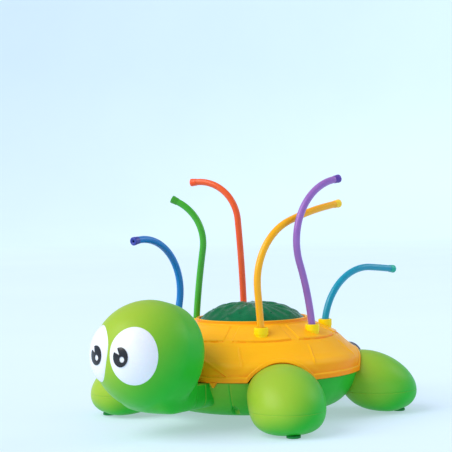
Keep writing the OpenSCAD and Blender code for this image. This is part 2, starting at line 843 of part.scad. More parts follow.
module hose_nut() {
    color("#565B68") at_axis() translate([0, inlet_reach, inlet_z]) rotate([90, 0, 0]) difference() {
        union() {
            cylinder(r = nut_r - 1, h = 27);
            cylinder(r = nut_r, h = 2.4);
            for (i = [0 : 17]) rotate([0, 0, i * 20]) translate([nut_r - 1.5, 0, 0])
                cylinder(r = 1.5, h = 24, $fn = 24);
        }
        translate([0, 0, -1]) cylinder(r = thread_r, h = thread_l + 1);
        cylinder(r = 12.2, h = flange_back + 3.6);
        cylinder(r = pipe_r + gap, h = 30);
    }
}

// Moves children to the inner end of the thread bore, looking back out of it.
module at_thread_end() {
    at_axis() translate([0, inlet_reach - thread_l, inlet_z]) rotate([-90, 0, 0]) children();
}

module hose_washer() {
    color("#1E1F22") at_thread_end() translate([0, 0, -3.5]) difference() {
        cylinder(r = 12, h = 2.2);
        translate([0, 0, -1]) cylinder(r = pipe_bore_r, h = 5);
    }
}

// Rings of holes in the filter screen: [radius, number of holes].
SCREEN_RINGS = [[0, 1], [3.4, 7], [6.4, 13]];

module filter_screen() {
    color(steel) at_thread_end() translate([0, 0, -1.2]) difference() {
        cylinder(r = 10, h = 0.8);
        for (ring = SCREEN_RINGS, i = [1 : ring[1]]) rotate([0, 0, i * 360 / ring[1]])
            translate([ring[0], 0, -1]) cylinder(r = 1.1, h = 3, $fn = 16);
    }
}

// ---------- Screws ----------

module shell_screws() {
    color(steel) for (a = SHELL_SCREW_ANGLES) facing(a)
        translate([0, -shell_screw_reach, 26 - screw_head_h - seat]) screw(24);
}

module foot_screws() {
    color(steel) for (foot = FEET) facing(foot[1]) translate([0, -67, foot_boss_z])
        rotate([90, 0, 0]) screw(14);
}

module chamber_screws() {
    color(steel) {
        at_axis() chamber_screw_places() translate([0, 0, chamber_top_z + screw_head_h + seat])
            mirror([0, 0, 1]) screw(11);
        for (a = POST_ANGLES) facing(a)
            translate([0, -post_reach, chamber_bottom_z + 2 + screw_head_h + seat])
            mirror([0, 0, 1]) screw(12);
    }
}

module head_screws() {
    color(steel) head_screw_places() translate([0, 6, 0]) rotate([90, 0, 0]) screw(9);
}

base_hull();
shell();
neck();
head_shell();
eye_left();
eye_right();
pupil_left();
pupil_right();
foot_upper_front_left();
foot_upper_rear_left();
foot_upper_rear_right();
foot_upper_front_right();
foot_lower_front_left();
foot_lower_rear_left();
foot_lower_rear_right();
foot_lower_front_right();
foot_pad_front_left();
foot_pad_rear_left();
foot_pad_rear_right();
foot_pad_front_right();
collar_yellow();
collar_purple();
collar_teal();
collar_orange();
collar_green();
collar_blue();
tube_yellow();
tube_purple();
tube_teal();
tube_orange();
tube_green();
tube_blue();
tip_yellow();
tip_purple();
tip_teal();
tip_orange();
tip_green();
tip_blue();
chamber_lower();
chamber_gasket();
chamber_upper();
inlet_pipe();
inlet_o_ring();
hose_nut();
hose_washer();
filter_screen();
spindle();
rotor_bush();
rotor_base();
rotor_dome();
rotor_seal();
rotor_screw();
shell_screws();
foot_screws();
chamber_screws();
head_screws();
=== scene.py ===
"""Looks of a turtle-shaped garden water toy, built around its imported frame."""
import math

import bpy
import numpy as np
from mathutils import Matrix, Vector


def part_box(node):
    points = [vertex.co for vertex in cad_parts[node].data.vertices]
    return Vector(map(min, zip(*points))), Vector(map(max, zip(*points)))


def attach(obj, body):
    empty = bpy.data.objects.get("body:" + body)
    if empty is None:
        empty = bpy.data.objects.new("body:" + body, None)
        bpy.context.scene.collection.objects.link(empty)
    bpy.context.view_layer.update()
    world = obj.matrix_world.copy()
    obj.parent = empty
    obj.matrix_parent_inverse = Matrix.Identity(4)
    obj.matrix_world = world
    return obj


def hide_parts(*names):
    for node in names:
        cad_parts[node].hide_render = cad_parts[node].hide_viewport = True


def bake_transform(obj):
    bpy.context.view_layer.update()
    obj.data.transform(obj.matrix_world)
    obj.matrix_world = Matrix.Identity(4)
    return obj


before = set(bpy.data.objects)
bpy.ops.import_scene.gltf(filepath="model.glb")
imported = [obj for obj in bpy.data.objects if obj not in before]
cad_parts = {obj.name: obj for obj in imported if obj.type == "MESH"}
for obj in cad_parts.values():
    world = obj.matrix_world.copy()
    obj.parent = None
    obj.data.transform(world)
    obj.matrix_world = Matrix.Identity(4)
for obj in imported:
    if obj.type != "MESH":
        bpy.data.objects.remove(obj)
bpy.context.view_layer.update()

MM = 0.001
ROOT = "root"

# ---------- Driving sizes, in millimetres about the shell's axis ----------

SPINNER_LOW, SPINNER_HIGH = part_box("rotor_dome")
AXIS = Vector(((SPINNER_LOW.x + SPINNER_HIGH.x) / 2, (SPINNER_LOW.y + SPINNER_HIGH.y) / 2, 0))

SKIRT_R, SKIRT_Z = 98.2, 40.0
LIP_Z = 86.4
WALL = 2.4
ARCH_R, ARCH_Z = 33.5, 21.5
PLATE_EDGE_R = 76.0
ONE_SIDE = 60            # degrees beside a foot or the tail that still belong to its opening
NOTCH_ANGLE = 26.4       # degrees from straight ahead, or behind, to a drain notch in the hull

HEAD_R, HEAD_BACK, HEAD_TILT = 44.7, 32.1, 14.0
HEAD = np.array((0.0, -136.65, 66.3))
EYE_SIZE = np.array((22.4, 15.2, 24.6))
EYE_SIDE, EYE_UP, EYE_OUT = 26.8, 5.4, 32.6

FOOT_SIZE = np.array((31.7, 38.5, 24.3))
FOOT_SLOPE, FOOT_REACH, FOOT_Z, SEAM_Z = 24.0, 110.0, 27.8, 20.0
FOOT_INSIDE = 0.93       # inner size of a foot's casing, as a share of the outer size
FEET = {"front_left": 52.5, "rear_left": 127.5, "rear_right": 232.5, "front_right": -52.5}
PAD_REACH = 130.0

RING_R, PIVOT_Z, COLLAR_TOP_Z = 66.4, 79.5, 82.5
TUBE_R, TUBE_BORE_R, CAP_R, CAP_L = 3.1, 1.8, 3.7, 6.0
# Every tube: place on the ring, heading of its bend, lean at the root, and its stretches as
# (length, bend angle), the same as in part.scad.
TUBES = {
    "yellow": (45, 168, -5, ((35.5, 0), (73, 75), (55.5, 11.5), (5, 0))),
    "purple": (90, 168, -6.5, ((57.5, -13.5), (34, 35.5), (61, 65), (5, 0))),
    "teal": (135, 168, 7.5, ((83, 87), (25.5, 2), (5, 0))),
    "orange": (225, 285, 1, ((94, 4), (62, 88), (5, 0))),
    "green": (270, 300, -4, ((67, -4.5), (53.5, 71), (5, 0))),
    "blue": (315, 0, 1, ((22, -14), (90, 111), (5, 0))),
}

THREAD_R, THREAD_L, THREAD_PITCH = 12.4, 14.0, 2.2
INLET_Z, INLET_REACH = 33.6, 157.0
TAIL_HOLE_R = 15.9

RIBS = 8
DOME_R, DOME_LOW_Z, DOME_SINK = 46.9, 85.6, 0.9


# ---------- Shapes ----------

def heading(angle):
    """Direction of an angle counted from straight ahead (-Y) round by the turtle's left (+X)."""
    t = math.radians(angle)
    return np.array((math.sin(t), -math.cos(t), 0.0))


def beside(angle, middle):
    """Degrees from a direction to an angle, between -180 and 180."""
    return (angle - middle + 180) % 360 - 180


def smooth(x, low, high):
    """0 below low, 1 above high, and an S-curve between."""
    t = np.clip((x - low) / (high - low), 0, 1)
    return t * t * (3 - 2 * t)


def make(name, verts, faces, material, nodes=(), body=ROOT, sharp=38):
    """A piece from points in millimetres about the shell's axis. Edges over sharp degrees stay crisp."""
    mesh = bpy.data.meshes.new(name)
    points = np.asarray(verts, float) * MM + np.array(AXIS)
    mesh.from_pydata(points.tolist(), [], [list(map(int, f)) for f in faces])
    mesh.validate()
    mesh.update()
    mesh.shade_smooth()
    mesh.set_sharp_from_angle(angle=math.radians(sharp))
    piece = bpy.data.objects.new(name, mesh)
    bpy.context.scene.collection.objects.link(piece)
    mesh.materials.append(material)
    if body:        # a tube has none here
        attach(piece, body)
    if nodes:
        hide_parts(*nodes)
    return piece


def sheet_faces(rows, cols, start=0, close_rows=False):
    """Quads of a grid of rows by cols points, whose columns close into a ring."""
    last = rows if close_rows else rows - 1
    return [
        (start + i * cols + j, start + i * cols + (j + 1) % cols,
         start + (i + 1) % rows * cols + (j + 1) % cols, start + (i + 1) % rows * cols + j)
        for i in range(last) for j in range(cols)
    ]


def joined(*parts):
    """Several (verts, faces) as one."""
    verts, faces, n = [], [], 0
    for v, f in parts:
        verts.append(np.asarray(v, float))
        faces += [tuple(i + n for i in face) for face in f]
        n += len(v)
    return np.concatenate(verts), faces


def filleted(points, radii, steps=5):
    """A polyline with its corners rounded. radii has one radius for each point."""
    points = [np.array(p, float) for p in points]
    out = []
    for i, p in enumerate(points):
        if radii[i] == 0 or i in (0, len(points) - 1):
            out.append(p)
            continue
        a, b = points[i - 1] - p, points[i + 1] - p
        la, lb = np.linalg.norm(a), np.linalg.norm(b)
        half = math.acos(float(np.clip(a @ b / (la * lb), -1, 1))) / 2
        back = min(radii[i] / math.tan(half), 0.49 * la, 0.49 * lb)
        start, end = p + a / la * back, p + b / lb * back
        for k in range(steps + 1):
            t = k / steps
            out.append((1 - t) ** 2 * start + 2 * t * (1 - t) * p + t * t * end)
    return np.array(out)


def evenly(points, step):
    """A polyline with points about a step apart."""
    points = np.asarray(points, float)
    run = np.concatenate(([0], np.cumsum(np.linalg.norm(np.diff(points, axis=0), axis=1))))
    at = np.linspace(0, run[-1], max(2, int(run[-1] / step) + 1))
    return np.stack([np.interp(at, run, points[:, k]) for k in range(points.shape[1])], axis=1)


def around(sides):
    """Angles evenly round a circle."""
    return np.linspace(0, 2 * math.pi, sides, endpoint=False)


def ring(radius, height, angle):
    """Points round Z. The radius and the height are numbers, or one number for each angle."""
    return np.stack((radius * np.cos(angle), radius * np.sin(angle), height + 0 * angle), axis=1)


def lathe(profile, sides=96, closed=False):
    """A solid turned about Z from (radius, height) points. Ends on the axis become one point each."""
    profile = np.asarray(profile, float)
    angle = around(sides)
    rings = profile if closed else profile[1:-1]
    verts = [ring(r, z, angle) for r, z in rings]
    faces = sheet_faces(len(rings), sides, close_rows=closed)
    n = len(rings) * sides
    if not closed:
        verts.append(np.array([(0, 0, profile[0][1]), (0, 0, profile[-1][1])]))
        faces += [(n, (j + 1) % sides, j) for j in range(sides)]
        base = n - sides
        faces += [(n + 1, base + j, base + (j + 1) % sides) for j in range(sides)]
    return np.concatenate(verts), faces


def turned(verts, matrix):
    """Points moved by a 4x4 matrix."""
    m = np.array(matrix, float)
    return np.asarray(verts, float) @ m[:3, :3].T + m[:3, 3]


def spun(verts, angle):
    """Points whose -Y side is turned to an angle counted from straight ahead."""
    return turned(verts, Matrix.Rotation(math.radians(angle), 4, "Z"))


# ---------- Materials ----------

def linear(code):
    """Linear colour of a code like #82BF26."""
    channels = [int(code[i:i + 2], 16) / 255 for i in (1, 3, 5)]
    return [c / 12.92 if c <= 0.04045 else ((c + 0.055) / 1.055) ** 2.4 for c in channels] + [1.0]


def paint_light_and_shade(material, colour_out, painted_lit_colour, toward):
    """Painted light and shade: mixes a paler second colour in on faces that look one way, toward the
    light, so the base colour stays as painted shade on faces that look away.
    """
    nodes, links = material.node_tree.nodes, material.node_tree.links
    geometry = nodes.new("ShaderNodeNewGeometry")
    facing = nodes.new("ShaderNodeVectorMath")
    facing.operation = "DOT_PRODUCT"
    facing.inputs[1].default_value = toward
    links.new(geometry.outputs["Normal"], facing.inputs[0])
    painted_lit_share = nodes.new("ShaderNodeMapRange")
    painted_lit_share.interpolation_type = "SMOOTHSTEP"
    painted_lit_share.inputs["From Min"].default_value, painted_lit_share.inputs["From Max"].default_value = -0.4, 0.95
    links.new(facing.outputs["Value"], painted_lit_share.inputs["Value"])
    mix = nodes.new("ShaderNodeMix")
    mix.data_type = "RGBA"
    links.new(painted_lit_share.outputs["Result"], mix.inputs["Factor"])
    links.new(colour_out, mix.inputs["A"])
    mix.inputs["B"].default_value = linear(painted_lit_colour)
    return mix.outputs["Result"]


def noise(material, vector, scale, detail):
    """Output of a noise texture."""
    texture = material.node_tree.nodes.new("ShaderNodeTexNoise")
    texture.inputs["Scale"].default_value = scale
    texture.inputs["Detail"].default_value = detail
    material.node_tree.links.new(vector, texture.inputs["Vector"])
    return texture.outputs["Fac"]


def moulded(name, dark, light, rough=(0.28, 0.4), scale=60, bump=0.06, coat=0.0, sss=0.0,
            metal=0.0, specular=0.28, stretch=(1, 1, 1), painted_lit_colour=None, toward=(0, 0, 1)):
    """Moulded plastic, rubber or metal: cloudy colour, uneven gloss and a fine surface grain, and, where a
    second colour is given, painted light and shade by the way each face looks.
    """
    material = bpy.data.materials.new(name)
    material.use_nodes = True
    nodes, links = material.node_tree.nodes, material.node_tree.links
    shader = nodes["Principled BSDF"]
    place = nodes.new("ShaderNodeTexCoord")
    mapping = nodes.new("ShaderNodeMapping")
    mapping.inputs["Scale"].default_value = stretch
    links.new(place.outputs["Object"], mapping.inputs["Vector"])
    at = mapping.outputs["Vector"]

    colour = nodes.new("ShaderNodeMix")
    colour.data_type = "RGBA"
    colour.inputs["A"].default_value = linear(dark)
    colour.inputs["B"].default_value = linear(light)
    links.new(noise(material, at, scale, 4), colour.inputs["Factor"])
    # painted light and shade: faces that look toward the light get the paler colour painted on
    base = paint_light_and_shade(material, colour.outputs["Result"], painted_lit_colour, toward) if painted_lit_colour else colour.outputs["Result"]
    links.new(base, shader.inputs["Base Color"])

    gloss = nodes.new("ShaderNodeMapRange")
    gloss.inputs["From Min"].default_value, gloss.inputs["From Max"].default_value = 0.3, 0.7
    gloss.inputs["To Min"].default_value, gloss.inputs["To Max"].default_value = rough
    links.new(noise(material, at, scale * 2.3, 6), gloss.inputs["Value"])
    links.new(gloss.outputs["Result"], shader.inputs["Roughness"])

    relief = nodes.new("ShaderNodeBump")
    relief.inputs["Strength"].default_value = bump
    relief.inputs["Distance"].default_value = 0.0004
    links.new(noise(material, at, scale * 28, 3), relief.inputs["Height"])
    links.new(relief.outputs["Normal"], shader.inputs["Normal"])

    for socket, value in (("Metallic", metal), ("Specular IOR Level", specular), ("Coat Weight", coat),
                          ("Coat Roughness", 0.12), ("Subsurface Weight", sss),
                          ("Subsurface Scale", 0.004), ("IOR", 1.49)):
        shader.inputs[socket].default_value = value
    return material


# painted light and shade: the deep green base colours are painted shade, and the paler yellow-green is
# painted onto faces that look front and up, toward the key light
LIME = moulded("lime_plastic", "#16AC24", "#24B82C", rough=(0.34, 0.46), sss=0.1, specular=0.22,
               painted_lit_colour="#9CBC34", toward=(-0.34, -0.72, 0.6))
# painted light and shade: the deep orange base colours are painted shade, and the paler orange-yellow is
# painted onto faces that look mostly up, toward the light
ORANGE = moulded("orange_plastic", "#FF6E00", "#FF7800", rough=(0.3, 0.42), sss=0.1, specular=0.12,
                 painted_lit_colour="#FFB416", toward=(0.22, -0.36, 0.91))
WHITE = moulded("eye_white_plastic", "#E6E8F0", "#F0F2F8", rough=(0.2, 0.3), coat=0.2, sss=0.05)
BLACK = moulded("pupil_plastic", "#17171C", "#24242B", rough=(0.15, 0.25), coat=0.3)
LEMON = moulded("collar_plastic", "#F8D400", "#FFE20A", rough=(0.3, 0.42), sss=0.08, specular=0.2)
RUBBER = moulded("pad_rubber", "#0E7A35", "#18903F", rough=(0.55, 0.7), bump=0.2)
DARK_RUBBER = moulded("seal_rubber", "#1B1C1F", "#26272B", rough=(0.55, 0.7), bump=0.2)
EMERALD = moulded("dome_plastic", "#00462A", "#007A4A", rough=(0.24, 0.34), specular=0.2)
ROTOR_GREEN = moulded("rotor_plastic", "#04803F", "#0A9048")
NATURAL = moulded("natural_plastic", "#DCDCD6", "#EAEAE4", rough=(0.4, 0.55))
NUT_GREY = moulded("nut_plastic", "#454A58", "#565C6C", rough=(0.3, 0.45), coat=0.1)
PIPE_GREY = moulded("pipe_plastic", "#3A3E46", "#494E57", rough=(0.35, 0.5))
STEEL = moulded("stainless_steel", "#A9ADB3", "#C4C8CC", rough=(0.22, 0.35), metal=1.0, stretch=(1, 1, 8))
TUBE_LOOKS = {
    "yellow": ("#F2A400", "#FBB410"), "purple": ("#8A58AC", "#9E70BC"), "teal": ("#0088A8", "#0A9AB4"),
    "orange": ("#E8501A", "#F2642C"), "green": ("#34A024", "#4CB030"), "blue": ("#006CBC", "#0A80C8"),
}
TIP_LOOKS = {
    "yellow": ("#FFC400", "#FFD83A"), "purple": ("#4A2A90", "#6A46A6"), "teal": ("#00A08C", "#14B49C"),
    "orange": ("#F0481A", "#FF6428"), "green": ("#2E8F1E", "#4AA42C"), "blue": ("#2A3498", "#4450A8"),
}


# ---------- Shell ----------

def shell_profile():
    """Outside of the shell from its lip down to its lower edge, as (radius, height)."""
    corners = [(50.4, 86.0), (50.6, 83.2), (62, 78.2), (75, 72.3), (79.6, 68.6), (88.6, 59.6),
               (93.0, 56.2), (95.6, 52.6), (96.4, 47.0), (96.6, 40.0)]
    return evenly(filleted(corners, [0, 1.2, 40, 6, 14, 12, 9, 8, 20, 0], 8), 0.25)


def shell_relief(angle, radius, height):
    """How far the shell's skin stands out from its plain form, in millimetres."""
    rim_h, rim_proud, band_proud, fender_proud = 4.0, 1.3, 1.5, 0.9
    line_angle, line_lean, line_proud, line_half = 21.8, 2.6, 0.75, 0.75
    proud = rim_proud * (1 - smooth(height, SKIRT_Z + rim_h, SKIRT_Z + rim_h + 0.9))
    for foot in FEET.values():
        off = beside(angle, foot)
        this_side = np.abs(off) < ONE_SIDE
        from_arch = np.hypot(radius * np.sin(np.radians(off)), height - ARCH_Z) - ARCH_R
        # a band along the arch, and a fender that swells toward it
        proud = np.maximum(proud, band_proud * (1 - smooth(from_arch, 2.5, 3.5)) * this_side)
        fender = fender_proud * (1 - smooth(from_arch, 3, 11)) * this_side
        proud = np.maximum(proud, fender * smooth(height, 42, 50))
        # short raised lines at both sides of each arch, leaning in toward the foot
        for side in (-1, 1):
            away = radius * np.radians(off - side * (line_angle - line_lean * smooth(height, 68, 52)))
            reach = smooth(height, 52, 56) * (1 - smooth(height, 66, 68.5))
            proud = proud + line_proud * np.exp(-(away / line_half) ** 2) * reach * this_side

    # front and back scutes: a raised line that arches over the neck, and one over the tail
    scute_half, scute_low, scute_rise, scute_proud = 26, 4.5, 16.5, 0.6
    for middle in (0, 180):
        off = beside(angle, middle)
        line_z = SKIRT_Z + scute_low + scute_rise * np.clip(1 - (off / scute_half) ** 2, 0, 1)
        line = np.exp(-((height - line_z) / 0.9) ** 2)
        proud = proud + scute_proud * line * (np.abs(off) < scute_half)

    # eight plates around the top, with valleys between them and a groove along each one's lower edge
    plate_angle, plate_proud, plate_bow, groove_depth, groove_z = 45, 0.7, 2.2, 0.9, 65
    half_plate = plate_angle / 2
    from_valley = radius * np.abs(np.sin(np.radians(angle % plate_angle - half_plate)))
    across = (angle + half_plate) % plate_angle - half_plate
    edge_r = PLATE_EDGE_R - plate_bow * (1 - np.cos(np.radians(across * 4))) / 2
    on_top = smooth(radius, 52.2, 53.4) * (1 - smooth(radius, edge_r - 0.7, edge_r))
    proud = proud + plate_proud * smooth(from_valley, 3.2, 4.2) * on_top
    groove = np.exp(-((radius - edge_r - 0.35) / 0.5) ** 2)
    return proud - groove_depth * groove * smooth(from_valley, 3.0, 4.4) * (height > groove_z)


def shell():
    """The carapace: a turned wall with arches over the feet, a rim band, plates and a lip."""
    profile = shell_profile()
    run = np.concatenate(([0], np.cumsum(np.linalg.norm(np.diff(profile, axis=0), axis=1))))
    cols = 1080
    angle = np.arange(cols) * 360 / cols
    # how far down each column reaches before it meets an arch or the tail
    end = np.full(cols, run[-1])
    openings = [(foot, ARCH_Z, ARCH_R) for foot in FEET.values()] + [(180, INLET_Z, TAIL_HOLE_R)]
    for middle, opening_z, opening_r in openings:
        off = beside(angle, middle)
        lateral = profile[None, :, 0] * np.sin(np.radians(off))[:, None]
        inside = np.hypot(lateral, profile[None, :, 1] - opening_z) < opening_r
        inside &= (np.abs(off) < ONE_SIDE)[:, None]
        end = np.minimum(end, np.where(inside.any(1), run[np.argmax(inside, 1)], run[-1]))

    # rows spread over the wall, and close together in the last stretch, which carries the rim
    rim = 9.0
    near = np.concatenate((np.arange(0, rim, 0.35), [rim]))[::-1]
    far = np.linspace(0, 1, 96)[:-1]
    s = np.concatenate([far[:, None] * (end - rim)[None, :], end[None, :] - near[:, None]], axis=0)
    radius = np.interp(s, run, profile[:, 0])
    height = np.interp(s, run, profile[:, 1])
    near_by = 0.3
    slope_r, slope_z = (np.interp(s + near_by, run, part) - np.interp(s - near_by, run, part)
                        for part in profile.T)
    size = np.hypot(slope_r, slope_z)
    normal_r, normal_z = -slope_z / size, slope_r / size

    relief = shell_relief(angle[None, :], radius, height)
    # the last rows roll over the cut edge
    roll, inner_top_z = 0.45, 83.0
    edge = np.clip((end[None, :] - s) / 0.5, 0, 1)
    relief = relief - roll * (1 - np.sqrt(1 - (1 - edge) ** 2))
    out_r, out_z = radius + normal_r * relief, height + normal_z * relief
    in_r, in_z = radius - normal_r * WALL, height - normal_z * WALL
    in_r, in_z = in_r[::-1][::3], np.minimum(in_z[::-1][::3], inner_top_z)

    # the lip that stands around the spinner
    lip = filleted([(47.7, 80.6), (47.7, LIP_Z), (50.3, LIP_Z), (50.45, 85.0)], [0, 0.7, 0.9, 0], 4)
    rows = [np.stack((np.full(cols, r), np.full(cols, z)), axis=1) for r, z in lip]
    rows += [np.stack((out_r[i], out_z[i]), axis=1) for i in range(len(out_r))]
    rows += [np.stack((in_r[i], in_z[i]), axis=1) for i in range(len(in_r))]
    t = np.radians(angle)
    verts = np.concatenate([
        np.stack((row[:, 0] * np.sin(t), -row[:, 0] * np.cos(t), row[:, 1]), axis=1) for row in rows
    ])
    faces = [face[::-1] for face in sheet_faces(len(rows), cols, close_rows=True)]

    # a small pointed tab hangs from the rim at each side of the neck
    point = ((-3.2, 40.2), (3.2, 40.2), (0.6, 36.0), (-0.6, 36.0))
    tab = np.array([(x, -SKIRT_R + depth, z) for depth in (0, WALL) for x, z in point])
    tab_faces = [(0, 1, 2, 3), (7, 6, 5, 4), (0, 4, 5, 1), (1, 5, 6, 2), (2, 6, 7, 3), (3, 7, 4, 0)]
    tabs = [(spun(tab, side * 18.7), tab_faces) for side in (-1, 1)]
    verts, faces = joined((verts, faces), *tabs)
    make("carapace", verts, faces, ORANGE, ["shell"], sharp=60)


# ---------- Hull ----------

def hull():
    """The belly pan with four grooves that end in drain notches, and the tail sleeve."""
    corners = [(0, 7.5), (60, 7.5), (70, 8.9), (78, 12.4), (84.5, 18.4), (90, 26), (93.6, 34),
               (95.4, 39.9), (93.0, 39.9), (91.2, 34), (87.6, 27.3), (82.4, 20.2), (76.4, 14.8),
               (69, 11.3), (59.5, 9.9), (0, 9.9)]
    radii = [0, 10, 30, 30, 30, 30, 30, 0.4, 0.4, 30, 30, 30, 30, 30, 30, 0]
    profile = evenly(filleted(corners, radii, 6), 1.0)
    sides = 720
    verts, faces = lathe(profile, sides)
    count = len(verts) - 2
    x, y, z = verts[:count].T
    angle = np.degrees(np.arctan2(x, -y))
    radius = np.hypot(x, y)
    # the outside's rows come before the widest one; its side wall starts where the flat belly ends
    side_wall = (np.arange(count) // sides < np.argmax(profile[:, 0]) - 1) & (radius > 60)
    groove_depth, notch_depth, notch_r, notch_top_z = 0.7, 3.2, 79, 19
    for middle in (-NOTCH_ANGLE, NOTCH_ANGLE, 180 - NOTCH_ANGLE, NOTCH_ANGLE - 180):
        away = radius * np.radians(beside(angle, middle))
        groove = groove_depth * np.exp(-(away / 0.45) ** 2) * smooth(z, 9, 12) * side_wall
        from_notch = np.hypot(away - 1.5, (radius - notch_r) * 0.55)
        notch = notch_depth * (1 - smooth(from_notch, 2.2, 3.4)) * (z < notch_top_z) * side_wall
        verts[:count, 0] -= groove * np.sin(np.radians(angle))
        verts[:count, 1] += groove * np.cos(np.radians(angle))
        verts[:count, 2] += notch
    sleeve = filleted([(9.6, 0), (16, 0), (12.8, 38.8), (12.4, 40), (11, 40), (9.6, 40)],
                      [0, 0.5, 0.8, 0.6, 0.5, 0], 4)
    tail, tail_faces = lathe(sleeve, 96, closed=True)
    back = Matrix.Translation((0, 84, INLET_Z)) @ Matrix.Rotation(-math.pi / 2, 4, "X")
    verts, faces = joined((verts, faces), (turned(tail, back), tail_faces))
    make("belly_hull", verts, faces, LIME, ["base_hull"])


def prism(outline, rows, middle):
    """Closed solid along Y. Every row is (place, how far its outline draws in), in millimetres."""
    verts, count = [], len(outline)
    reach = np.abs(outline - middle).max()
    for y, inset in rows:
        drawn = middle + (outline - middle) * (1 - inset / reach)
        verts.append(np.stack((drawn[:, 0], np.full(count, float(y)), drawn[:, 1]), axis=1))
    faces = sheet_faces(len(rows), count)
    faces.append(tuple(range(count))[::-1])
    faces.append(tuple((len(rows) - 1) * count + j for j in range(count)))
    return np.concatenate(verts), faces


def tub(half, low, high, corner):
    """Outline (x, z) of a block with round lower corners."""
    arc = [math.radians(a) for a in np.linspace(0, 90, 12)]
    side = [(half - corner + corner * math.sin(a), low + corner - corner * math.cos(a)) for a in arc]
    chamfer = 0.8
    side += [(half, high - chamfer), (half - chamfer, high), (0, high)]
    return np.array(side + [(-x, z) for x, z in side[::-1][1:]])


def neck():
    """Block that joins the head to the hull, with a fine joint line across it."""
    rows = ((-79, 1.2), (-79.3, 0.5), (-80.2, 0), (-95.2, 0), (-95.5, 0.4), (-95.8, 0.4), (-96.1, 0),
            (-117.5, 0))
    low, high = 18.0, 39.6
    verts, faces = prism(tub(26.0, low, high, 9.0), rows, np.array((0, (low + high) / 2)))
    make("neck_block", verts, faces, LIME, ["neck"])


# ---------- Head ----------

def head():
    """Egg-shaped head, flat at the back, whose lower back swells out into the throat."""
    t = np.linspace(0, math.pi / 2, 200)
    taper, blunt_face, blunt_back = 1.2, 0.87, 0.35
    front = np.stack((HEAD_R * np.sin(t) ** blunt_face, HEAD_R * np.abs(np.cos(t)) ** taper), axis=1)
    rear = np.stack((HEAD_R * np.abs(np.cos(t)) ** taper, -HEAD_BACK * np.sin(t) ** blunt_back), axis=1)
    profile = evenly(np.concatenate((front, rear[1:])), 0.8)
    profile[0, 0] = profile[-1, 0] = 0
    verts, faces = lathe(profile, 200)
    tilt = Matrix.Translation(HEAD) @ Matrix.Rotation(math.radians(90 - HEAD_TILT), 4, "X")
    faces = [face[::-1] for face in faces]
    verts = turned(verts, tilt)

    # the throat: a rounded block that melts into the egg
    away = verts - HEAD
    size = np.linalg.norm(away, axis=1)
    ray = away / size[:, None]
    block = np.array((28.6, 33.2, 47.9))
    boxy, melt = 9, 1.5
    to_block = np.sum((np.abs(ray) / block) ** boxy, axis=1) ** (-1 / boxy)
    backward, downward = smooth(ray[:, 1], -0.35, 0.15), smooth(-ray[:, 2], -0.1, 0.35)
    swollen = np.log(np.exp(size / melt) + np.exp(to_block / melt)) * melt
    reach = size + (np.maximum(swollen, size) - size) * backward * downward
    verts = HEAD + ray * reach[:, None]
    make("head_casing", verts, faces, LIME, ["head_shell"])


def out_of_head(side_angle, up_angle, out):
    """Places -Y away from the middle of the head, in a direction."""
    return (Matrix.Translation(HEAD) @ Matrix.Rotation(math.radians(side_angle), 4, "Z")
            @ Matrix.Rotation(math.radians(-up_angle), 4, "X") @ Matrix.Translation((0, -out, 0)))


def eye(side, name):
    """Bulging oval eye, flattened where it meets the other one."""
    t = np.linspace(-math.pi / 2, math.pi / 2, 72)
    verts, faces = lathe(np.stack((np.cos(t), np.sin(t)), axis=1), 128)
    verts = turned(turned(verts, Matrix.Rotation(math.pi / 2, 4, "X")) * EYE_SIZE,
                   out_of_head(side * EYE_SIDE, EYE_UP, EYE_OUT))
    half_gap, soft = 0.1, 0.8
    x = verts[:, 0] * side - half_gap
    pressed = soft * np.log1p(np.exp(np.clip(x / soft, -30, 30)))
    verts[:, 0] = side * (half_gap + np.where(x > 20 * soft, x, pressed))
    make(f"{name}_ball", verts, faces, WHITE, [name])


# ---------- Feet ----------

def foot(name, angle):
    """One foot: an upper and a lower half that meet in a fine mould seam, and a rubber pad."""
    rise = FOOT_SIZE[1] * math.sin(math.radians(FOOT_SLOPE))
    drop = FOOT_SIZE[2] * math.cos(math.radians(FOOT_SLOPE))
    steep = math.hypot(rise, drop)
    stretch = Matrix.Diagonal((*FOOT_SIZE, 1))
    place = (Matrix.Rotation(math.radians(angle), 4, "Z") @ Matrix.Translation((0, -FOOT_REACH, FOOT_Z))
             @ Matrix.Rotation(math.radians(FOOT_SLOPE), 4, "X") @ stretch
             @ Matrix.Rotation(-math.atan2(rise, drop), 4, "X"))
    for side, half, seam_gap in ((1, "upper", 0.06), (-1, "lower", 0)):
        # the rim is worked out on a unit ball whose Z axis stands square to the seam
        cut = (SEAM_Z - FOOT_Z + seam_gap) / steep * side
        low = math.asin(cut)
        inner_low = math.asin(cut / FOOT_INSIDE)
        outer = [(1 - 0.010, low), (1 - 0.0045, low), (1 - 0.001, low + 0.008)]
        outer += [(1, t) for t in np.linspace(low + 0.02, math.pi / 2, 56)]
        inner = [(FOOT_INSIDE, t) for t in np.linspace(math.pi / 2, inner_low, 24)]
        profile = [(r * math.cos(t), r * math.sin(t)) for r, t in outer + inner]
        profile[len(outer) - 1] = (0.0, 1.0)
        profile[len(outer)] = (0.0, FOOT_INSIDE)
        skin, skin_faces = dome_wall(np.array(profile), len(outer), 128)
        if side < 0:
            skin[:, 2] *= -1
            skin_faces = [face[::-1] for face in skin_faces]
        make(f"foot_{half}_{name}_casing", turned(squarer_sole(skin), place), skin_faces,
             LIME, [f"foot_{half}_{name}"], sharp=50)

    pad = filleted([(0, 8.5), (2, 8.5), (2, 2), (5.8, 2), (5.8, 0), (5, 0), (0, 0)],
                   [0, 0.4, 0.3, 0.3, 0.7, 0.5, 0], 4)
    verts, faces = lathe(pad, 64)
    faces = [face[::-1] for face in faces]
    verts[:, 1] -= PAD_REACH
    make(f"foot_pad_{name}_rubber", spun(verts, angle), faces, RUBBER, [f"foot_pad_{name}"])


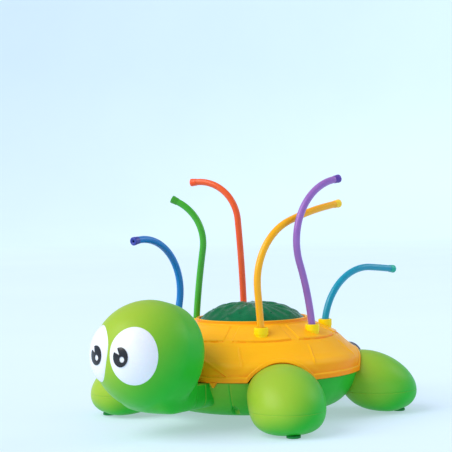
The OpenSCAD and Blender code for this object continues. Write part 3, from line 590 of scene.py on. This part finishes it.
def squarer_sole(points):
    """Fills out the underside of a unit ball, most on the side that faces the body."""
    size = np.linalg.norm(points, axis=1)
    flat = np.hypot(points[:, 0], points[:, 1]) / size
    down = np.maximum(-points[:, 2] / size, 0)
    inward = smooth(points[:, 1] / np.maximum(flat * size, 1e-6), -0.9, 0.3)
    round_power, squarer_by = 2, 1.1
    power = round_power + squarer_by * inward
    below = down > 0
    fuller = np.ones(len(points))
    fuller[below] = (flat[below] ** power[below] + down[below] ** power[below]) ** (-1 / power[below])
    return points * fuller[:, None]


def dome_wall(profile, outer_count, sides):
    """A hollow cap turned about Z: outer rows up to a pole, then inner rows back down to the rim."""
    outer, inner = profile[:outer_count - 1], profile[outer_count + 1:]
    angle = around(sides)
    verts = [ring(r, z, angle) for r, z in np.concatenate((outer, inner))]
    n_out, n_in = len(outer), len(inner)
    top = (n_out + n_in) * sides
    verts.append(np.array([(0, 0, profile[outer_count - 1][1]), (0, 0, profile[outer_count][1])]))
    faces = sheet_faces(n_out, sides)
    faces += sheet_faces(n_in, sides, start=n_out * sides)
    base = (n_out - 1) * sides
    faces += [(base + j, base + (j + 1) % sides, top) for j in range(sides)]
    base = n_out * sides
    faces += [(top + 1, base + (j + 1) % sides, base + j) for j in range(sides)]
    rim = (n_out + n_in - 1) * sides
    faces += [(rim + j, rim + (j + 1) % sides, (j + 1) % sides, j) for j in range(sides)]
    return np.concatenate(verts), faces


# ---------- Collars, tubes and tips ----------

def collar(name, angle):
    """Round-topped collar with a slight waist, whose mouth opens around the tube's root."""
    profile = filleted(
        [(2.4, 67.5), (4.2, 67.5), (5.7, 71.5), (5.75, 76.4), (6.1, 76.8), (6.1, COLLAR_TOP_Z),
         (4.6, COLLAR_TOP_Z), (3.7, 79.6), (3.5, 77.4), (2.4, 76.6)],
        [0, 0.4, 0.4, 0.3, 0.3, 0.9, 0.3, 0.4, 0.4, 0.3], 5)
    verts, faces = lathe(profile, 72, closed=True)
    verts[:, 1] -= RING_R
    make(f"collar_{name}_cup", spun(verts, angle), faces, LEMON, [f"collar_{name}"])


def tube_line(stretches, step=2.0):
    """Stations (x, z, lean) along a tube in its own plane, from its root outward."""
    x, z, lean = 0.0, 0.0, 0.0
    stations = [(x, z, lean)]
    for length, bend in stretches:
        n = max(2, math.ceil(length / step))
        for _ in range(n):
            middle = math.radians(lean + bend / n / 2)
            x += length / n * math.sin(middle)
            z += length / n * math.cos(middle)
            lean += bend / n
            stations.append((x, z, lean))
    return stations


def tube_place(place, toward, lean):
    """Moves a tube's own plane to its root, leaning, with +X as the way it bends."""
    return (Matrix.Translation(RING_R * heading(place) + np.array((0, 0, PIVOT_Z)))
            @ Matrix.Rotation(math.radians(toward - 90), 4, "Z")
            @ Matrix.Rotation(math.radians(lean), 4, "Y"))


def tube(name, place, toward, lean, stretches):
    """Flexible tube that bends up out of its collar, and the nozzle cap on its end."""
    at_root = tube_place(place, toward, lean)
    stations = tube_line(stretches)
    sides = 32
    angle = around(sides)

    def section(station, r):
        x, z, tilt = station
        a = math.radians(tilt)
        return np.stack((x + r * np.cos(angle) * math.cos(a), r * np.sin(angle),
                         z - r * np.cos(angle) * math.sin(a)), axis=1)

    root_z = -2.4
    root = [((0, z, 0), r) for z, r in ((root_z, 2.2), (-1.7, 2.75), (-0.9, 3.05))]
    rings = [section(s, r) for s, r in root] + [section(s, TUBE_R) for s in stations]
    rings += [section(s, TUBE_BORE_R) for s in stations[::-1][::2]]
    rings.append(section((0, root_z, 0), TUBE_BORE_R))
    faces = sheet_faces(len(rings), sides, close_rows=True)
    verts = turned(np.concatenate(rings), at_root)
    low, high = TUBE_LOOKS[name]
    skin = moulded(f"tube_{name}_plastic", low, high, rough=(0.26, 0.36), coat=0.25, sss=0.1)
    piece = make(f"tube_{name}_hose", verts, faces, skin, [f"tube_{name}"], body=None)
    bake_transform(piece)

    x, z, tilt = stations[-1]
    at_end = at_root @ Matrix.Translation((x, 0, z)) @ Matrix.Rotation(math.radians(tilt), 4, "Y")
    face_z, grip_r = 1.6, TUBE_R + 0.03
    cap = filleted(
        [(grip_r, face_z - CAP_L), (CAP_R - 0.3, face_z - CAP_L), (CAP_R - 0.2, -1.2), (CAP_R, -0.8),
         (CAP_R, face_z), (2.0, face_z), (1.1, 0.9), (1.1, 0.1), (grip_r, 0.1)],
        [0, 0.2, 0.3, 0.3, 0.8, 0.4, 0.3, 0.2, 0], 4)
    verts, faces = lathe(cap, 48, closed=True)
    low, high = TIP_LOOKS[name]
    skin = moulded(f"tip_{name}_plastic", low, high, rough=(0.24, 0.34), coat=0.2)
    make(f"tip_{name}_cap", turned(verts, at_end), faces, skin, [f"tip_{name}"],
         body=f"tube_{name}")


# ---------- Spinner ----------

def dome_height(radius):
    """Height of the dome between its ridges at a radius."""
    return np.interp(radius, (0, 8, 18, 27, 33, 39, 43, 45.6, DOME_R),
                     (100.2, 100.0, 98.9, 97.1, 95.0, 92.1, 89.5, 87.2, 85.6)) - DOME_SINK


def dome():
    """Green spinner top with uneven swirling ridges and raised water holes."""
    sides = 480
    angle = around(sides)
    edge = 2.9
    radii = np.concatenate((np.linspace(0, DOME_R - edge, 90)[1:],
                            DOME_R - edge * (1 - np.linspace(0.1, 1, 12)) ** 1.6))
    verts = []
    for r in radii:
        swirl = angle * RIBS + r * 0.125
        wave = 0.5 + 0.5 * np.cos(swirl + 0.5 * np.sin(2 * angle + r * 0.05))
        ridge = 1.5 * wave ** 3 - 0.4 * wave
        fine = 0.35 * np.cos(angle * RIBS * 3 - r * 0.21) * smooth(r, 10, 26)
        fade = smooth(r, 5, 16) * (1 - smooth(r, 41, 46))
        verts.append(ring(r, dome_height(r) + (ridge + fine) * fade, angle))
    below = filleted([(DOME_R, DOME_LOW_Z), (DOME_R, 83.1), (44.4, 83.1), (44.4, 86), (41.5, 88.0),
                      (36, 90.6), (28, 93.6), (17, 95.8), (4, 96.6)], [0, 0.3, 0.3, 1, 4, 8, 20, 20, 0], 4)
    verts += [ring(r, z, angle) for r, z in below[1:]]
    n = len(verts)
    faces = [face[::-1] for face in sheet_faces(n, sides)]
    verts.append(np.array([(0, 0, float(dome_height(0))), (0, 0, 96.7)]))
    faces += [(n * sides, j, (j + 1) % sides) for j in range(sides)]
    base = (n - 1) * sides
    faces += [(n * sides + 1, base + (j + 1) % sides, base + j) for j in range(sides)]
    make("spinner_dome", np.concatenate(verts), faces, EMERALD, ["rotor_dome"], "rotor", 70)

    rim = filleted([(0.8, -1.5), (1.9, -1.5), (1.5, 0.5), (0.8, 0.5)], [0, 0.2, 0.4, 0.3], 3)
    rim_verts, rim_faces = lathe(rim, 20, closed=True)
    holes = []
    for t in around(RIBS) + 0.45 * 2 * math.pi / RIBS:
        for r in (14, 26, 36):
            holes.append((rim_verts + (r * math.cos(t), r * math.sin(t), dome_height(r)), rim_faces))
    verts, faces = joined(*holes)
    make("spinner_water_holes", verts, faces, EMERALD, body="rotor")


# ---------- Hose inlet ----------

def hose_nut():
    """Ribbed nut with round rib tops, chamfered ends and a thread inside."""
    sides, ribs, rib_h = 360, 18, 1.15
    angle = around(sides)
    rib = rib_h * smooth(0.5 + 0.5 * np.cos(angle * ribs), 0.25, 0.8)
    # outside, from the open end to the shell's end, as (depth, radius between ribs, how far ribs show)
    outside = ((0.0, 14.3, 0), (0.25, 14.9, 0), (0.9, 15.4, 0), (2.0, 15.4, 0), (2.5, 14.5, 0.4),
               (3.4, 14.3, 1), (12, 14.3, 1), (22.4, 14.3, 1), (23.6, 14.3, 0.7), (24.3, 14.4, 0.1),
               (25.6, 14.3, 0), (26.6, 13.9, 0), (27.0, 13.2, 0))
    rows = [ring(base + ribbed * rib, depth, angle) for depth, base, ribbed in outside]
    # inside, back out: the pipe's hole, the room for its flange, the thread and a lead-in
    for r, depth in ((9.8, 27.0), (9.7, 26.8), (9.7, 21.8), (12.15, 21.7), (12.2, 17.9)):
        rows.append(ring(r, depth, angle))
    for depth in np.linspace(THREAD_L - 0.2, 1.6, 84):
        crest = np.clip(np.cos(depth / THREAD_PITCH * 2 * math.pi + angle) * 1.6, -1, 1)
        rows.append(ring(THREAD_R + 0.65 - 0.6 * crest, depth, angle))
    rows += [ring(13.2, 0.9, angle), ring(13.7, 0.1, angle)]
    verts = np.concatenate(rows)
    faces = sheet_faces(len(rows), sides, close_rows=True)
    at = Matrix.Translation((0, INLET_REACH, INLET_Z)) @ Matrix.Rotation(math.pi / 2, 4, "X")
    make("hose_nut_grip", turned(verts, at), faces, NUT_GREY, ["hose_nut"], "hose_nut", 45)


# ---------- Pieces that keep their frame shape ----------

def keep(names, material):
    """Gives frame nodes a better material and leaves their shapes alone."""
    for name in names:
        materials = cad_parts[name].data.materials
        for i in range(len(materials)):
            materials[i] = material


shell()
hull()
neck()
head()
eye(1, "eye_left")
eye(-1, "eye_right")
for foot_name, foot_angle in FEET.items():
    foot(foot_name, foot_angle)
for tube_name, (ring_place, bend_heading, root_lean, tube_stretches) in TUBES.items():
    collar(tube_name, ring_place)
    tube(tube_name, ring_place, bend_heading, root_lean, tube_stretches)
dome()
hose_nut()

keep(["pupil_left", "pupil_right"], BLACK)
keep(["chamber_lower", "chamber_upper", "rotor_bush"], NATURAL)
keep(["chamber_gasket", "inlet_o_ring", "hose_washer", "rotor_seal"], DARK_RUBBER)
keep(["inlet_pipe"], PIPE_GREY)
keep(["rotor_base"], ROTOR_GREEN)
keep(["filter_screen", "spindle", "rotor_screw", "shell_screws", "foot_screws", "chamber_screws",
      "head_screws"], STEEL)


# ---------- Floor, light and camera ----------

def floor():
    """Round pale floor that curves up into a low wall all the way round."""
    middle, reach, cove, top, below_pads = 0.5, 6.0, 1.2, 1.9, 0.0002
    curve = np.radians(range(6, 91, 6))
    profile = [(middle, 0), (reach, 0)]
    profile += [(reach + cove * math.sin(a), cove - cove * math.cos(a)) for a in curve]
    profile.append((reach + cove, top))
    sides = 96
    verts = np.concatenate([ring(out, up - below_pads, around(sides)) for out, up in profile])
    faces = [face[::-1] for face in sheet_faces(len(profile), sides)]
    faces.append(tuple(range(sides)))
    mesh = bpy.data.meshes.new("studio_floor")
    mesh.from_pydata(verts.tolist(), [], faces)
    mesh.shade_smooth()
    ground = bpy.data.objects.new("studio_floor", mesh)
    bpy.context.scene.collection.objects.link(ground)
    paper = moulded("studio_paper", "#A0B6C6", "#AABFCE", rough=(0.8, 0.9), scale=1.5, bump=0.0)
    glow = paper.node_tree.nodes["Principled BSDF"]
    glow.inputs["Emission Color"].default_value = linear("#DCEAF8")
    glow.inputs["Emission Strength"].default_value = 0.5
    mesh.materials.append(paper)


def light(name, kind, strength, toward, place=(0, 0, 0)):
    """A light that stands somewhere and comes from the direction toward. Returns its data."""
    data = bpy.data.lights.new(name, kind)
    data.energy = strength
    lamp = bpy.data.objects.new(name, data)
    bpy.context.scene.collection.objects.link(lamp)
    lamp.location = place
    lamp.rotation_mode = "QUATERNION"
    lamp.rotation_quaternion = Vector(toward).to_track_quat("Z", "Y")
    return data


def studio():
    """A wide soft sun from the front left, a small rim light from behind, and a pale sky."""
    key = light("key", "SUN", 2.6, (-0.34, -0.72, 0.66))
    key.angle = math.radians(50)
    key.color = (1.0, 0.97, 0.92)
    behind, target = Vector((0.9, 1.1, 1.0)), Vector((0, 0, 0.06))
    rim = light("rim", "AREA", 5, behind - target, behind)
    rim.shape = "SQUARE"
    rim.size = 0.8

    world = bpy.data.worlds.new("studio")
    world.use_nodes = True
    sky = world.node_tree.nodes["Background"]
    sky.inputs["Color"].default_value = (0.86, 0.91, 1.0, 1.0)
    sky.inputs["Strength"].default_value = 0.55
    bpy.context.scene.world = world
    bpy.context.scene.view_settings.view_transform = "Standard"


def camera():
    """Low camera in front of the turtle's left side, seen a little turned."""
    azimuth, elevation, roll = (math.radians(a) for a in (38.53, 0.69, -1.03))
    distance, aim_z = 1.09098, 0.16775
    back = Vector((math.sin(azimuth) * math.cos(elevation), -math.cos(azimuth) * math.cos(elevation),
                   math.sin(elevation)))
    right = (-back).cross(Vector((0, 0, 1))).normalized()
    up = right.cross(-back)
    turned_right = math.cos(roll) * right + math.sin(roll) * up
    turned_up = -math.sin(roll) * right + math.cos(roll) * up
    data = bpy.data.cameras.new("camera")
    data.sensor_width = 36.0
    data.lens = 96.697
    data.shift_x = -0.05396
    view = bpy.data.objects.new("camera", data)
    bpy.context.scene.collection.objects.link(view)
    matrix = Matrix((turned_right, turned_up, back)).transposed().to_4x4()
    matrix.translation = AXIS + Vector((0, 0, aim_z)) + back * distance
    view.matrix_world = matrix
    bpy.context.scene.camera = view


floor()
studio()
camera()


def corners(bounds):
    """A box as plain lists of numbers."""
    return [[float(x) for x in corner] for corner in bounds]
